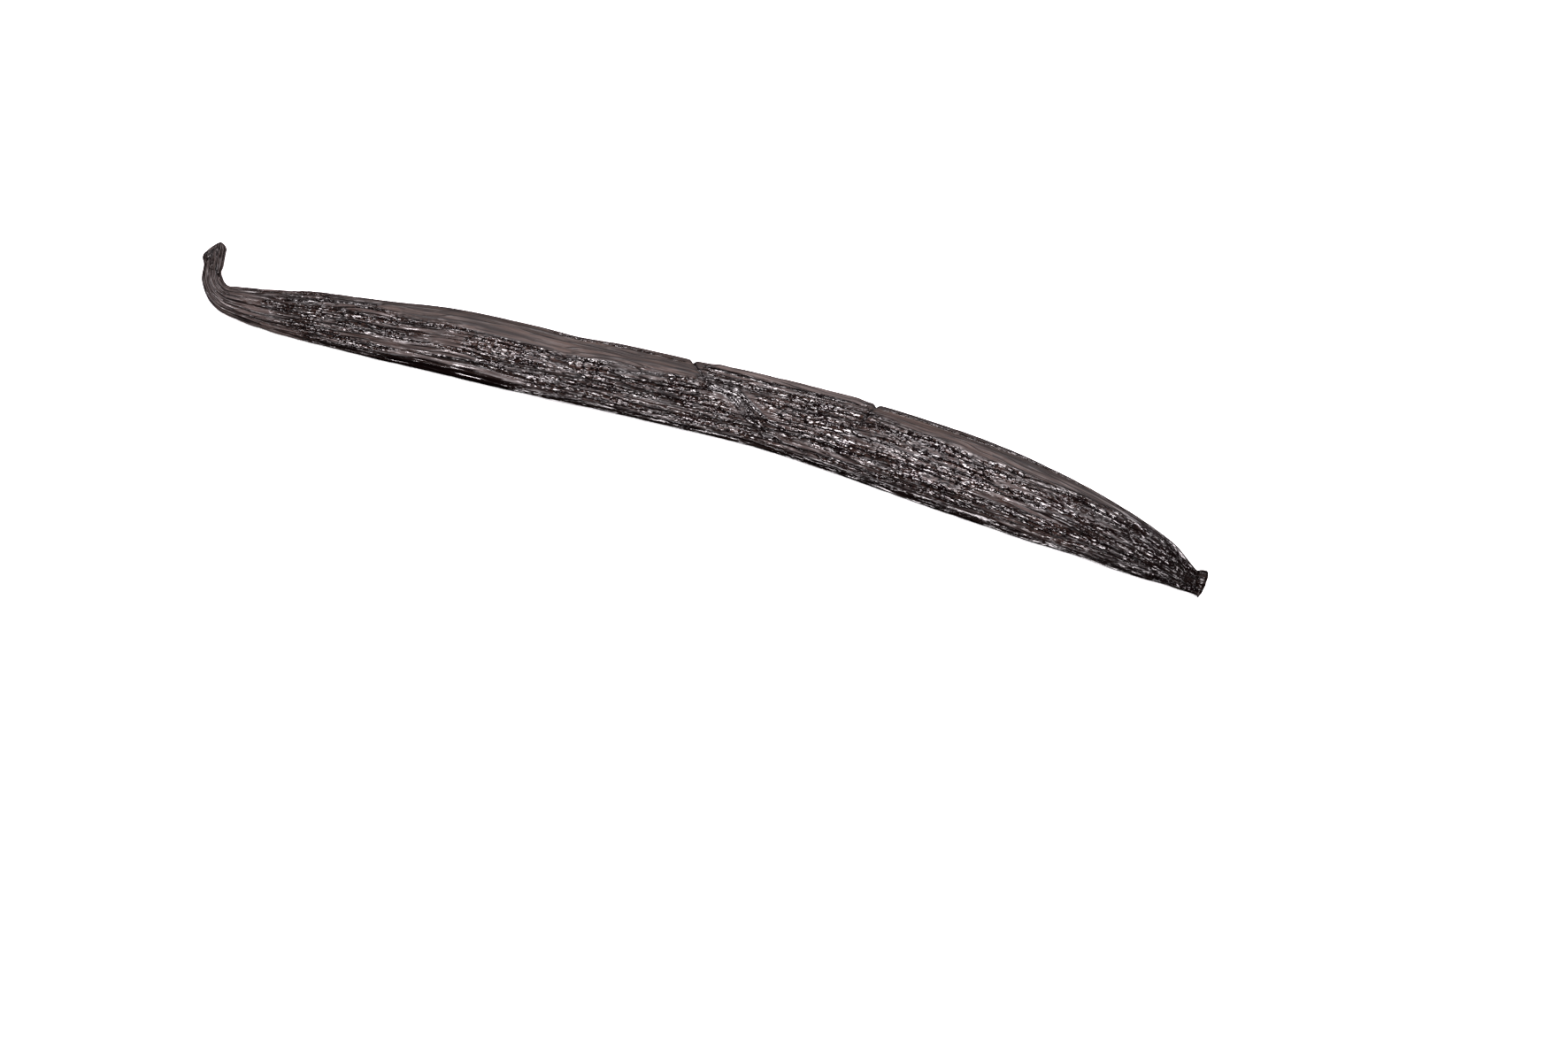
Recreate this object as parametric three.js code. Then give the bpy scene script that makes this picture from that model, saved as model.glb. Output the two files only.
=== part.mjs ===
// A cured vanilla pod lying on a flat surface: a long flattened fruit with a crooked stalk, a swollen stalk
// scar, furrows that run from end to end, two cross folds where it was once bent, and a blunt, rimmed blossom
// end. Millimetres, +Z up. X runs from stalk to blossom end, and +Y is the side that the stalk crooks towards.

import * as THREE from 'three';
import { mergeVertices } from 'three/addons/utils/BufferGeometryUtils.js';

const { lerp, smoothstep, clamp, degToRad } = THREE.MathUtils;

// Driving dimensions.
const WIDEST = 12.2; // across the pod, two thirds of the way to the blossom end
const THICKEST = 6.1; // the same place, top to bottom
const NECK = 2.8; // across the stalk at its narrowest
const SCAR = 3.35; // across the swollen scar at the stalk's end
const SCAR_LENGTH = 3.5; // from its face to the neck
const BLOSSOM = 4.15; // across the rim at the blossom end
const CROOK_RADIUS = 3.75; // of the stalk's centre line
const CROOK_CENTRE = { x: -72.0, y: -0.05 };
const BLOSSOM_X = 77.65; // of the blossom end's face
const PRESSED = 0.3; // how far the skin is pressed flat where it lies on the surface

const FURROWS = 16; // the strongest ones, all the way round
const FURROW_DEPTH = 0.62;
const FURROW_REACH = 0.85; // from a furrow's floor to its lip, where the pod is widest

const SIDES = 58; // facets round the pod
const BODY_RING_GAP = 2.35; // between rings of vertices along the body
const CROOK_RING_GAP = 0.72;
const FOLD_RING_GAP = 1.15;

// A point of the crook's arc: at 180 degrees it leaves the scar, and at 270 it turns into the body.
function crook(degrees) {
  const angle = degToRad(degrees);
  return {
    x: CROOK_CENTRE.x + CROOK_RADIUS * Math.cos(angle),
    y: CROOK_CENTRE.y + CROOK_RADIUS * Math.sin(angle),
  };
}

// A point of the scar's middle: how far above the neck it is, and how far it leans out.
function scar(share, lean) {
  const neck = crook(180);
  return { x: neck.x - lean, y: neck.y + share * SCAR_LENGTH };
}

// The centre line from scar to blossom end, with the width and thickness of the section, and its underside's
// height above the surface before it is pressed flat.
const STATIONS = [
  { ...scar(1, 0.52), lift: 2.5, width: SCAR, height: 0.9 * SCAR },
  { ...scar(0.57, 0.36), lift: 2.3, width: 1.03 * SCAR, height: 0.9 * SCAR },
  { ...scar(0.18, 0.05), lift: 2.15, width: 0.92 * SCAR, height: 0.82 * SCAR },
  { ...crook(184), lift: 2.0, width: NECK, height: 0.9 * NECK },
  { ...crook(203), lift: 1.7, width: 1.14 * NECK, height: 1.0 * NECK },
  { ...crook(222), lift: 1.3, width: 1.22 * NECK, height: 1.07 * NECK },
  { ...crook(242), lift: 0.9, width: 1.35 * NECK, height: 1.16 * NECK },
  { ...crook(266), lift: 0.55, width: 1.6 * NECK, height: 1.26 * NECK },
  { x: -69.0, y: -3.7, lift: 0.35, width: 0.455 * WIDEST, height: 0.64 * THICKEST },
  { x: -65.5, y: -3.4, lift: 0.2, width: 0.535 * WIDEST, height: 0.71 * THICKEST },
  { x: -60.0, y: -2.65, lift: 0.05, width: 0.64 * WIDEST, height: 0.79 * THICKEST },
  { x: -50.0, y: -1.5, lift: 0, width: 0.72 * WIDEST, height: 0.85 * THICKEST },
  { x: -39.0, y: -0.1, lift: 0, width: 0.82 * WIDEST, height: 0.9 * THICKEST },
  { x: -27.0, y: 0.75, lift: 0.1, width: 0.84 * WIDEST, height: 0.94 * THICKEST },
  { x: -20.5, y: 1.13, lift: 0.1, width: 0.822 * WIDEST, height: 0.94 * THICKEST },
  { x: -14.0, y: 1.8, lift: 0.1, width: 0.85 * WIDEST, height: 0.95 * THICKEST },
  { x: -4.0, y: 2.5, lift: 0, width: 0.86 * WIDEST, height: 0.93 * THICKEST },
  { x: 10.0, y: 3.3, lift: 0, width: 0.882 * WIDEST, height: 0.96 * THICKEST },
  { x: 24.0, y: 3.4, lift: 0, width: 0.96 * WIDEST, height: 0.98 * THICKEST },
  { x: 38.0, y: 2.95, lift: 0, width: WIDEST, height: THICKEST },
  { x: 50.0, y: 2.08, lift: 0.05, width: 0.945 * WIDEST, height: 0.96 * THICKEST },
  { x: 60.0, y: 0.93, lift: 0.1, width: 0.805 * WIDEST, height: 0.87 * THICKEST },
  { x: 70.0, y: -0.75, lift: 0.25, width: 0.57 * WIDEST, height: 0.7 * THICKEST },
  { x: BLOSSOM_X - 3.2, y: -2.05, lift: 0.4, width: 0.35 * WIDEST, height: 0.57 * THICKEST },
  { x: BLOSSOM_X - 1.5, y: -2.35, lift: 0.5, width: 0.84 * BLOSSOM, height: 0.74 * BLOSSOM },
  { x: BLOSSOM_X - 0.6, y: -2.25, lift: 0.45, width: 1.06 * BLOSSOM, height: 0.85 * BLOSSOM },
  { x: BLOSSOM_X, y: -2.35, lift: 0.5, width: BLOSSOM, height: 0.8 * BLOSSOM },
];

// Each station's centre height, and its distance along the centre line from the scar's face.
STATIONS.forEach((station, i) => {
  station.z = station.lift + station.height / 2 - PRESSED;
  const last = STATIONS[i - 1] ?? station;
  const step = Math.hypot(station.x - last.x, station.y - last.y, station.z - last.z);
  station.along = (last.along ?? 0) + step;
});
const POD_LENGTH = STATIONS.at(-1).along;
const CROOK_LENGTH = STATIONS.find((station) => station.x > CROOK_CENTRE.x).along;

// Turns round the section are counted from the +Y side: 0.25 is the top, 0.5 the -Y side and 0.75 the
// underside. The lines below are lists of points, each a distance along the pod and a turn round it.

// A taut band with faint furrows lies on the +Y side of the top. Its outer edge has one turn all along and its
// inner edge follows a line, which draws back between the two cross folds.
const TAUT = {
  outer: -0.03,
  inner: [
    [18, 0], [37, 0.165], [60, 0.19], [79, 0.17], [81, 0], [104, 0], [107, 0.13], [132, 0.14], [152, 0.04],
  ],
  ease: 0.04,
  furrowShare: 0.3,
};

// A smooth lip that stands proud along the +Y side between the two cross folds.
const LIP = { from: 80.6, to: 104.6, ease: 2, turn: 0.01, reach: 0.07, height: 0.22 };

// Folds across the skin.
const CROSS_FOLDS = [
  { depth: 0.7, reach: 0.9, line: [[77.6, -0.1], [78.3, 0.0], [78.9, 0.08], [81.0, 0.18]] },
  { depth: 0.55, reach: 0.9, line: [[81.0, 0.18], [87.2, 0.25], [92.0, 0.365], [98.0, 0.4]] },
  { depth: 0.6, reach: 0.8, line: [[105.9, -0.06], [105.4, 0.07], [104.5, 0.2]] },
];

// A slit that runs along the pod, where the crook has straightened.
const SLIT = { depth: 0.6, reach: 0.7, line: [[17.5, 0.17], [24.0, 0.135], [32.0, 0.105]] };

// The value of one field of the stations at any distance, smooth through every station.
function valueAt(field, along) {
  const ahead = STATIONS.findIndex((station) => station.along > along);
  const i = ahead < 1 ? (ahead < 0 ? STATIONS.length - 1 : 1) : ahead;
  const slope = (j) => {
    const before = STATIONS[Math.max(0, j - 1)];
    const after = STATIONS[Math.min(STATIONS.length - 1, j + 1)];
    return (after[field] - before[field]) / (after.along - before.along);
  };
  const [a, b] = [STATIONS[i - 1], STATIONS[i]];
  const gap = b.along - a.along;
  const t = (along - a.along) / gap;
  return (
    a[field] * (2 * t ** 3 - 3 * t ** 2 + 1) +
    slope(i - 1) * gap * (t ** 3 - 2 * t ** 2 + t) +
    b[field] * (3 * t ** 2 - 2 * t ** 3) +
    slope(i) * gap * (t ** 3 - t ** 2)
  );
}

function centreAt(along) {
  return new THREE.Vector3(valueAt('x', along), valueAt('y', along), valueAt('z', along));
}

// A repeatable number from 0 to 1 for furrow i.
function chance(i, salt) {
  const wave = Math.sin(12.9898 * (i + 1) + 78.233 * salt) * 43758.5453;
  return wave - Math.floor(wave);
}

// A wave along the pod, from -1 to 1, whose length in mm and phase are furrow i's own.
function wander(i, along, salt, shortest, spread) {
  const length = shortest + spread * chance(i, salt);
  return Math.sin(2 * Math.PI * (along / length + chance(i, salt + 1)));
}

// The shorter way round from one turn to another, from -0.5 to 0.5.
function turnBetween(a, b) {
  const gap = a - b;
  return gap - Math.round(gap);
}

// 1 on a groove's floor, falling steeply and then gently to 0 at its lip.
function groove(distance, reach) {
  const share = Math.min(1, Math.abs(distance) / reach);
  return (1 - share) ** 1.7;
}

// The turn of a line at a distance along the pod.
function turnOn(line, along) {
  const ahead = line.findIndex(([place]) => place > along);
  if (ahead < 1) return ahead < 0 ? line.at(-1)[1] : line[0][1];
  const [[a, turnA], [b, turnB]] = [line[ahead - 1], line[ahead]];
  return lerp(turnA, turnB, (along - a) / (b - a));
}

// 1 inside the taut band, easing to 0 just outside it and in the crook.
function tautness(along, turn) {
  const side = turnBetween(turn, 0);
  const inner = turnOn(TAUT.inner, along);
  const pastOuter = smoothstep(side, TAUT.outer - TAUT.ease, TAUT.outer);
  const pastInner = smoothstep(side, inner, inner + TAUT.ease);
  return pastOuter * (1 - pastInner) * smoothstep(along, CROOK_LENGTH, 3 * CROOK_LENGTH);
}

// Long furrows, evenly spread but wandering, that fade in and out along the pod.
function furrows(along, turn, girth) {
  const scale = Math.min(1, girth / (0.75 * Math.PI * WIDEST));
  let deepest = 0;
  for (let i = 0; i < FURROWS; i += 1) {
    const even = (i + 0.5 * (chance(i, 1) - 0.5)) / FURROWS;
    const place = even + 0.013 * wander(i, along, 2, 45, 30) + 0.004 * wander(i, along, 4, 14, 8);
    const strength = 0.6 + 0.4 * wander(i, along, 6, 34, 30);
    const distance = turnBetween(turn, place) * girth;
    deepest = Math.max(deepest, strength * groove(distance, FURROW_REACH * scale));
  }
  return FURROW_DEPTH * scale * lerp(1, TAUT.furrowShare, tautness(along, turn)) * deepest;
}

// The depth of the deepest fold or slit here.
function folds(along, turn, girth) {
  const wrapped = turn > 0.75 ? turn - 1 : turn;
  const place = new THREE.Vector2(along, wrapped * girth);
  let deepest = 0;
  for (const { depth, reach, line } of [...CROSS_FOLDS, SLIT]) {
    const points = line.map(([x, y]) => new THREE.Vector2(x, y * girth));
    for (let i = 1; i < points.length; i += 1) {
      const step = points[i].clone().sub(points[i - 1]);
      const share = clamp(place.clone().sub(points[i - 1]).dot(step) / step.lengthSq(), 0, 1);
      const distance = place.distanceTo(points[i - 1].clone().addScaledVector(step, share));
      deepest = Math.max(deepest, depth * groove(distance, reach));
    }
  }
  return deepest;
}

function lip(along, turn) {
  const share = Math.min(1, Math.abs(turnBetween(turn, LIP.turn)) / LIP.reach);
  const starts = smoothstep(along, LIP.from, LIP.from + LIP.ease);
  const ends = smoothstep(along, LIP.to - LIP.ease, LIP.to);
  return LIP.height * (1 - share ** 2) * starts * (1 - ends);
}

// Both ends close in a blunt dome: 0 at the very end, 1 past the dome.
function dome(along) {
  const rounded = (gap, length) => Math.sqrt(1 - (1 - Math.min(1, gap / length)) ** 2);
  return rounded(along, 1.0) * rounded(POD_LENGTH - along, 0.5);
}

// The scar is cleft into lobes, and the blossom end's rim is beaded.
function ends(along, turn) {
  const onScar = 1 - smoothstep(along, 2.6, 4.2);
  const clefts = Math.max(
    groove(turnBetween(turn, 0.14), 0.07),
    0.6 * groove(turnBetween(turn, 0.27), 0.06),
    groove(turnBetween(turn, 0.64), 0.07),
    0.7 * groove(turnBetween(turn, 0.88), 0.07),
  );
  const onRim = smoothstep(along, POD_LENGTH - 1.4, POD_LENGTH - 0.7);
  const beads = Math.cos(2 * Math.PI * (7 * turn + 0.2));
  return 0.12 * onRim * beads - 0.55 * onScar * clefts;
}

// The faces at both ends are cut aslant: how far a point slides along the pod.
function endSlant(along, across, halfWidth) {
  const side = across / halfWidth;
  const atScar = 1 - smoothstep(along, 0, SCAR_LENGTH);
  const atBlossom = smoothstep(along, POD_LENGTH - 2, POD_LENGTH);
  return -1.45 * atScar * Math.min(side, 0.35) - 0.2 * atBlossom * side;
}

// A broad swelling and hollowing of the section that changes slowly along the pod.
function unevenness(along, turn) {
  const three = Math.cos(2 * Math.PI * (3 * turn - along / 170 - 0.1));
  const five = Math.cos(2 * Math.PI * (5 * turn + along / 90));
  return smoothstep(along, CROOK_LENGTH, 3 * CROOK_LENGTH) * (0.14 * three + 0.1 * five);
}

// A point of the skin.
function skin(along, turn) {
  const reach = 0.05;
  const forward = centreAt(Math.min(POD_LENGTH, along + reach))
    .sub(centreAt(Math.max(0, along - reach)))
    .normalize();
  const sideways = new THREE.Vector3(0, 0, 1).cross(forward).normalize();
  const upwards = forward.clone().cross(sideways);

  const halfWidth = valueAt('width', along) / 2;
  const halfHeight = valueAt('height', along) / 2;
  const girth = Math.PI * (halfWidth + halfHeight);
  const angle = 2 * Math.PI * turn;
  const outwards = new THREE.Vector2(Math.cos(angle) / halfWidth, Math.sin(angle) / halfHeight).normalize();
  const hollow = Math.max(furrows(along, turn, girth), folds(along, turn, girth));
  const relief = unevenness(along, turn) + lip(along, turn) + ends(along, turn) - hollow;
  const across = dome(along) * (halfWidth * Math.cos(angle) + outwards.x * relief);
  const up = dome(along) * (halfHeight * Math.sin(angle) + outwards.y * relief);

  const point = centreAt(along)
    .addScaledVector(sideways, across)
    .addScaledVector(upwards, up)
    .addScaledVector(forward, endSlant(along, across, halfWidth));
  point.z = Math.max(0, point.z);
  return point;
}

function nearFold(along) {
  return CROSS_FOLDS.some(({ reach, line }) => {
    const places = line.map(([place]) => place);
    return along > Math.min(...places) - 2 * reach && along < Math.max(...places) + reach;
  });
}

// Distances along the pod of the rings of vertices: closer together in the crook and over the cross folds, and
// very close at both ends.
function ringPlaces() {
  const places = [0];
  while (places.at(-1) < POD_LENGTH) {
    const along = places.at(-1);
    const fromEnd = Math.min(along, Math.abs(POD_LENGTH - along));
    const onBody = smoothstep(along, 0.8 * CROOK_LENGTH, 1.8 * CROOK_LENGTH);
    const regular = nearFold(along) ? FOLD_RING_GAP : lerp(CROOK_RING_GAP, BODY_RING_GAP, onBody);
    places.push(along + Math.min(regular, 0.12 + 0.4 * fromEnd));
  }
  const stretch = POD_LENGTH / places.at(-1);
  return places.map((along) => along * stretch);
}

// The skin is a sphere's grid of vertices, whose poles become the two ends.
function podGeometry() {
  const places = ringPlaces();
  const rings = places.length - 1;
  const grid = new THREE.SphereGeometry(1, SIDES, rings);
  const { position, uv } = grid.attributes;
  for (let i = 0; i < position.count; i += 1) {
    const ring = Math.round((1 - uv.getY(i)) * rings);
    const onPole = ring === 0 || ring === rings;
    const side = onPole ? 0 : Math.round(uv.getX(i) * SIDES) % SIDES;
    const point = skin(places[ring], (SIDES - side) / SIDES);
    position.setXYZ(i, point.x, point.y, point.z);
  }
  grid.deleteAttribute('normal');
  grid.deleteAttribute('uv');
  return mergeVertices(grid, 1e-4);
}

function makePod() {
  const geometry = podGeometry();
  geometry.computeBoundingBox();
  const { min, max } = geometry.boundingBox;
  geometry.translate(-(min.x + max.x) / 2, -(min.y + max.y) / 2, -min.z);
  geometry.computeVertexNormals();
  const oilySkin = new THREE.MeshStandardMaterial({ color: '#3a2e2b', roughness: 0.45, metalness: 0 });
  const pod = new THREE.Mesh(geometry, oilySkin);
  pod.name = 'vanilla_pod';
  return pod;
}

const group = new THREE.Group();
group.add(makePod());

export default group;
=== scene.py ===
"""A cured vanilla pod lying on a pale studio floor, seen from nearly overhead."""

import math
from collections import namedtuple
from functools import partial

import bmesh
import bpy
from mathutils import Matrix, Vector, noise


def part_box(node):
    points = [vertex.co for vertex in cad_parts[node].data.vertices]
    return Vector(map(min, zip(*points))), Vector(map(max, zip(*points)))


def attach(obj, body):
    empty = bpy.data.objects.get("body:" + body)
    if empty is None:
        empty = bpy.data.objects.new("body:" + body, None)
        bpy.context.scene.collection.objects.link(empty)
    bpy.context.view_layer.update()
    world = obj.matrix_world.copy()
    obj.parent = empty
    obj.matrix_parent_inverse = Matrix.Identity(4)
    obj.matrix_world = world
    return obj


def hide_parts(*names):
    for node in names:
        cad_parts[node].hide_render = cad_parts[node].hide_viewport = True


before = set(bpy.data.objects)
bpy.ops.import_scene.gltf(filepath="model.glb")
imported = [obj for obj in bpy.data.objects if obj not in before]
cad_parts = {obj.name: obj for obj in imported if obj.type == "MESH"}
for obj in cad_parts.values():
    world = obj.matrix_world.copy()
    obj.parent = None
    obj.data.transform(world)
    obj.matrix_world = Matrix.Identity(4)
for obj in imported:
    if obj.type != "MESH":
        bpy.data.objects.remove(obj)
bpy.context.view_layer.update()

MM = 0.001  # the sizes below are in millimetres, and Blender's are in metres

# ---------------------------------------------------------------- the pod's form, as its source has it

WIDEST = 12.2  # across the pod, two thirds of the way to the blossom end
THICKEST = 6.1  # the same place, top to bottom
NECK = 2.8  # across the stalk at its narrowest
SCAR = 3.35  # across the swollen scar at the stalk's end
SCAR_LENGTH = 3.5  # from its face to the neck
BLOSSOM = 4.15  # across the rim at the blossom end
CROOK_RADIUS = 3.75  # of the stalk's centre line
CROOK_CENTRE = (-72.0, -0.05)
BLOSSOM_X = 77.65  # of the blossom end's face
PRESSED = 0.3  # how far the skin is pressed flat where it lies on the floor

FURROWS = 16  # the strongest ones, all the way round
FURROW_DEPTH = 0.62
FURROW_REACH = 0.85  # from a furrow's floor to its lip, where the pod is widest

Station = namedtuple("Station", "x y lift width height")
Fold = namedtuple("Fold", "depth reach line")


def crook(degrees):
    """A point of the crook's arc: at 180 degrees it leaves the scar, and at 270 it turns into the body."""
    angle = math.radians(degrees)
    return (
        CROOK_CENTRE[0] + CROOK_RADIUS * math.cos(angle),
        CROOK_CENTRE[1] + CROOK_RADIUS * math.sin(angle),
    )


def scar(share, lean):
    """A point of the scar's middle: how far above the neck it is, and how far it leans out."""
    x, y = crook(180)
    return x - lean, y + share * SCAR_LENGTH


# The centre line from scar to blossom end, the underside's height above the floor before it is pressed flat,
# and the section's width and thickness.
STATIONS = [
    Station(*scar(1, 0.52), 2.5, SCAR, 0.9 * SCAR),
    Station(*scar(0.57, 0.36), 2.3, 1.03 * SCAR, 0.9 * SCAR),
    Station(*scar(0.18, 0.05), 2.15, 0.92 * SCAR, 0.82 * SCAR),
    Station(*crook(184), 2.0, NECK, 0.9 * NECK),
    Station(*crook(203), 1.7, 1.14 * NECK, 1.0 * NECK),
    Station(*crook(222), 1.3, 1.22 * NECK, 1.07 * NECK),
    Station(*crook(242), 0.9, 1.35 * NECK, 1.16 * NECK),
    Station(*crook(266), 0.55, 1.6 * NECK, 1.26 * NECK),
    Station(-69.0, -3.7, 0.35, 0.455 * WIDEST, 0.64 * THICKEST),
    Station(-65.5, -3.4, 0.2, 0.535 * WIDEST, 0.71 * THICKEST),
    Station(-60.0, -2.65, 0.05, 0.64 * WIDEST, 0.79 * THICKEST),
    Station(-50.0, -1.5, 0, 0.72 * WIDEST, 0.85 * THICKEST),
    Station(-39.0, -0.1, 0, 0.82 * WIDEST, 0.9 * THICKEST),
    Station(-27.0, 0.75, 0.1, 0.84 * WIDEST, 0.94 * THICKEST),
    Station(-20.5, 1.13, 0.1, 0.822 * WIDEST, 0.94 * THICKEST),
    Station(-14.0, 1.8, 0.1, 0.85 * WIDEST, 0.95 * THICKEST),
    Station(-4.0, 2.5, 0, 0.86 * WIDEST, 0.93 * THICKEST),
    Station(10.0, 3.3, 0, 0.882 * WIDEST, 0.96 * THICKEST),
    Station(24.0, 3.4, 0, 0.96 * WIDEST, 0.98 * THICKEST),
    Station(38.0, 2.95, 0, WIDEST, THICKEST),
    Station(50.0, 2.08, 0.05, 0.945 * WIDEST, 0.96 * THICKEST),
    Station(60.0, 0.93, 0.1, 0.805 * WIDEST, 0.87 * THICKEST),
    Station(70.0, -0.75, 0.25, 0.57 * WIDEST, 0.7 * THICKEST),
    Station(BLOSSOM_X - 3.2, -2.05, 0.4, 0.35 * WIDEST, 0.57 * THICKEST),
    Station(BLOSSOM_X - 1.5, -2.35, 0.5, 0.84 * BLOSSOM, 0.74 * BLOSSOM),
    Station(BLOSSOM_X - 0.6, -2.25, 0.45, 1.06 * BLOSSOM, 0.85 * BLOSSOM),
    Station(BLOSSOM_X, -2.35, 0.5, BLOSSOM, 0.8 * BLOSSOM),
]


def centre_height(station):
    return station.lift + station.height / 2 - PRESSED


def distances(stations):
    """Each station's distance along the centre line from the scar's face."""
    found = [0.0]
    for a, b in zip(stations, stations[1:]):
        step = Vector((b.x - a.x, b.y - a.y, centre_height(b) - centre_height(a)))
        found.append(found[-1] + step.length)
    return found


ALONG = distances(STATIONS)
POD_LENGTH = ALONG[-1]
CROOK_LENGTH = next(along for along, station in zip(ALONG, STATIONS) if station.x > CROOK_CENTRE[0])

# Turns round the section are counted from the +Y side: 0.25 is the top, 0.5 the -Y side and 0.75 the underside.
# The lines below are lists of points, each a distance along the pod and a turn round it.

# A taut band with faint furrows lies on the +Y side of the top. Its outer edge has one turn all along and its
# inner edge follows a line, which draws back between the two cross folds.
TAUT_OUTER, TAUT_EASE, TAUT_FURROW_SHARE = -0.03, 0.04, 0.3
TAUT_INNER = [
    (18, 0), (37, 0.165), (60, 0.19), (79, 0.17), (81, 0), (104, 0), (107, 0.13), (132, 0.14), (152, 0.04),
]

# A smooth lip that stands proud along the +Y side between the two cross folds.
LIP_FROM, LIP_TO, LIP_EASE = 80.6, 104.6, 2
LIP_TURN, LIP_REACH, LIP_HEIGHT = 0.01, 0.07, 0.22

# Folds across the skin, and a slit that runs along the pod, where the crook has straightened.
FOLDS = [
    Fold(0.7, 0.9, [(77.6, -0.1), (78.3, 0.0), (78.9, 0.08), (81.0, 0.18)]),
    Fold(0.55, 0.9, [(81.0, 0.18), (87.2, 0.25), (92.0, 0.365), (98.0, 0.4)]),
    Fold(0.6, 0.8, [(105.9, -0.06), (105.4, 0.07), (104.5, 0.2)]),
    Fold(0.6, 0.7, [(17.5, 0.17), (24.0, 0.135), (32.0, 0.105)]),
]


def lerp(a, b, share):
    return a + (b - a) * share


def smoothstep(value, low, high):
    share = min(1.0, max(0.0, (value - low) / (high - low)))
    return share * share * (3 - 2 * share)


def plateau(value, start, full, fading, end):
    """1 from full to fading, easing to 0 at the start and the end."""
    return smoothstep(value, start, full) * (1 - smoothstep(value, fading, end))


def value_at(values, along):
    """One value of every station, smooth through them all, at any distance along the pod."""
    last = len(values) - 1
    i = next((k for k, place in enumerate(ALONG) if place > along), last)
    i = max(1, i)

    def slope(j):
        before, after = max(0, j - 1), min(last, j + 1)
        return (values[after] - values[before]) / (ALONG[after] - ALONG[before])

    gap = ALONG[i] - ALONG[i - 1]
    t = (along - ALONG[i - 1]) / gap
    return (
        values[i - 1] * (2 * t**3 - 3 * t**2 + 1)
        + slope(i - 1) * gap * (t**3 - 2 * t**2 + t)
        + values[i] * (3 * t**2 - 2 * t**3)
        + slope(i) * gap * (t**3 - t**2)
    )


XS = [station.x for station in STATIONS]
YS = [station.y for station in STATIONS]
ZS = [centre_height(station) for station in STATIONS]
WIDTHS = [station.width for station in STATIONS]
HEIGHTS = [station.height for station in STATIONS]


def centre_at(along):
    return Vector((value_at(XS, along), value_at(YS, along), value_at(ZS, along)))


def value_on(line, along):
    """The second value of a line's points, straight from point to point, at a distance along the pod."""
    for (a, value_a), (b, value_b) in zip(line, line[1:]):
        if along < b:
            return lerp(value_a, value_b, max(0.0, (along - a) / (b - a)))
    return line[-1][1]


def chance(i, salt):
    """A repeatable number from 0 to 1 for furrow i."""
    return math.sin(12.9898 * (i + 1) + 78.233 * salt) * 43758.5453 % 1.0


def wander(i, along, salt, shortest, spread):
    """A wave along the pod, from -1 to 1, whose length and phase are furrow i's own."""
    length = shortest + spread * chance(i, salt)
    return math.sin(2 * math.pi * (along / length + chance(i, salt + 1)))


def turn_between(a, b):
    """The shorter way round from one turn to another, from -0.5 to 0.5."""
    gap = a - b
    return gap - round(gap)


def groove(distance, reach):
    """1 on a groove's floor, falling steeply and then gently to 0 at its lip."""
    return (1 - min(1.0, abs(distance) / reach)) ** 1.7


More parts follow.
